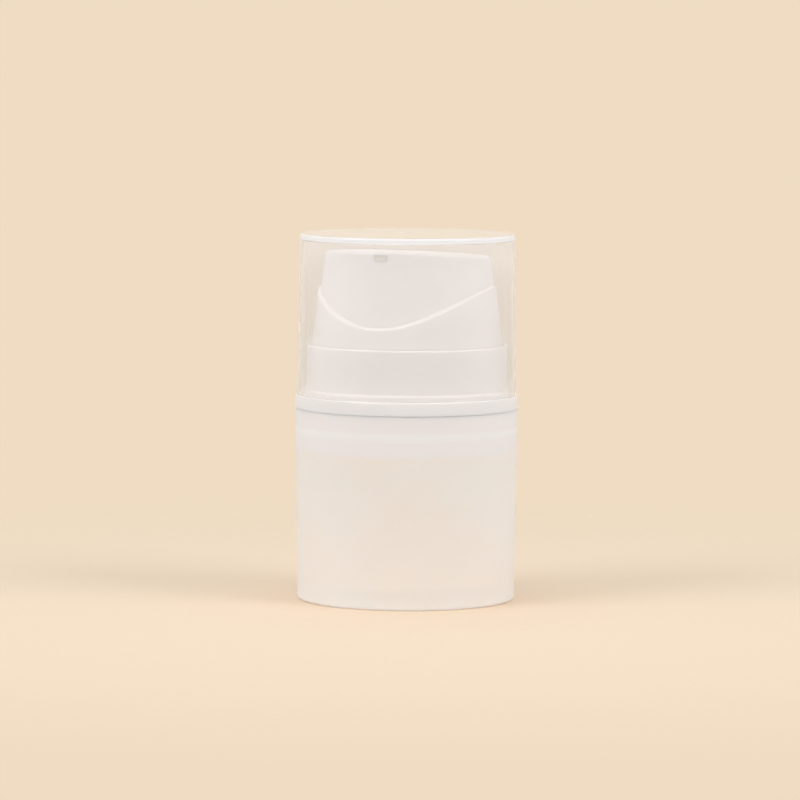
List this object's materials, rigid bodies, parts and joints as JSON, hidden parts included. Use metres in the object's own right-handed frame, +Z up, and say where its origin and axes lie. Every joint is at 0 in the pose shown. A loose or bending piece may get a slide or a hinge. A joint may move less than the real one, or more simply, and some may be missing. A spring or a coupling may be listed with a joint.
{
  "type": "airless pump bottle",
  "caption": "Round airless pump bottle with a frosted body, a white collar and pump head, and a clear overcap that lifts off.",
  "frame": {"origin": "centre of the face that the bottle stands on", "axes": "+Z up along the bottle's axis, -Y towards the nozzle, +X to the right seen from the nozzle's side"},
  "size_m": [0.049, 0.049, 0.0802],
  "materials": {
    "frosted_body": "translucent natural polypropylene, satin moulded",
    "white_polyethylene": "soft white, matt",
    "white_polypropylene": "white, polished moulding",
    "gasket": "soft, matt",
    "natural_plastic": "natural, slightly milky",
    "stainless_steel": "drawn wire and ground ball",
    "clear_overcap": "clear, polished moulding"
  },
  "bodies": {
    "bottle": {"bottle_body": "frosted_body", "collar": "white_polypropylene", "pump_gasket": "gasket", "pump_housing": "natural_plastic", "chaplet": "natural_plastic", "return_spring": "stainless_steel"},
    "follower": {"follower_piston": "white_polyethylene"},
    "ball": {"inlet_ball": "stainless_steel"},
    "plunger": {"pump_stem": "natural_plastic", "piston_rod": "natural_plastic"},
    "piston": {"pump_piston": "white_polyethylene"},
    "head": {"actuator_core": "white_polypropylene", "actuator_shell": "white_polypropylene"},
    "cap": {"overcap": "clear_overcap"}
  },
  "joints": [
    {"name": "overcap_lift", "type": "slide", "parent": "bottle", "child": "cap", "axis": [0, 0, 1], "range_m": [0, 0.045]},
    {"name": "head_press", "type": "slide", "parent": "bottle", "child": "plunger", "axis": [0, 0, -1], "range_m": [0, 0.0045], "stiffness_N_per_m": 750, "springref_m": -0.005, "deforming": ["return_spring"]},
    {"name": "head_turn", "type": "hinge", "parent": "plunger", "child": "head", "pos_m": [0, 0, 0.056], "axis": [0, 0, 1], "continuous": true},
    {"name": "piston_slip", "type": "slide", "parent": "plunger", "child": "piston", "axis": [0, 0, 1], "range_m": [0, 0.0008]},
    {"name": "inlet_ball_lift", "type": "slide", "parent": "bottle", "child": "ball", "axis": [0, 0, 1], "range_m": [0, 0.001]},
    {"name": "follower_rise", "type": "slide", "parent": "bottle", "child": "follower", "axis": [0, 0, 1], "range_m": [0, 0.0174]}
  ]
}
